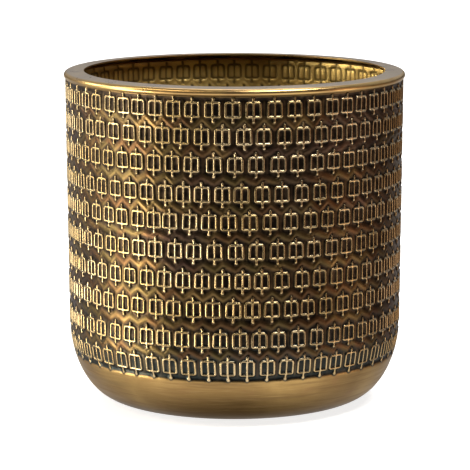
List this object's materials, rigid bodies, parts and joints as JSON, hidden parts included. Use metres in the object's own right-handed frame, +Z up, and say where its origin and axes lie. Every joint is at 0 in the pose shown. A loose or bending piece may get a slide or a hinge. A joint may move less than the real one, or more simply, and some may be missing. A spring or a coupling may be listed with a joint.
{
  "type": "planter pot",
  "caption": "Round sheet-brass planter pot with a flat turned-in lip, a wall pressed all over with rows of small barred frames, and a smooth rounded bowl base.",
  "frame": {"origin": "on the floor plane under the middle of the pot, where the felt pads rest", "axes": "+Z up along the pot's axis of revolution; +X and +Y are free, with the felt pads halfway between them"},
  "size_m": [0.2, 0.2, 0.195],
  "materials": {
    "rim_brass": "smooth satin-polished antique brass",
    "wire_brass": "dull drawn wire, hidden inside the rolled edge",
    "wall_brass": "antiqued: dark brown patina in the recesses, raised lines rubbed bright",
    "base_brass": "satin, brushed round the pot, warm antique brass",
    "pad_felt": "dense dark felt"
  },
  "bodies": {
    "root": {"rim_collar": "rim_brass", "rim_wire": "wire_brass", "wall_shell": "wall_brass", "base_bowl": "base_brass", "foot_pad_1": "pad_felt", "foot_pad_2": "pad_felt", "foot_pad_3": "pad_felt", "foot_pad_4": "pad_felt"}
  },
  "joints": []
}
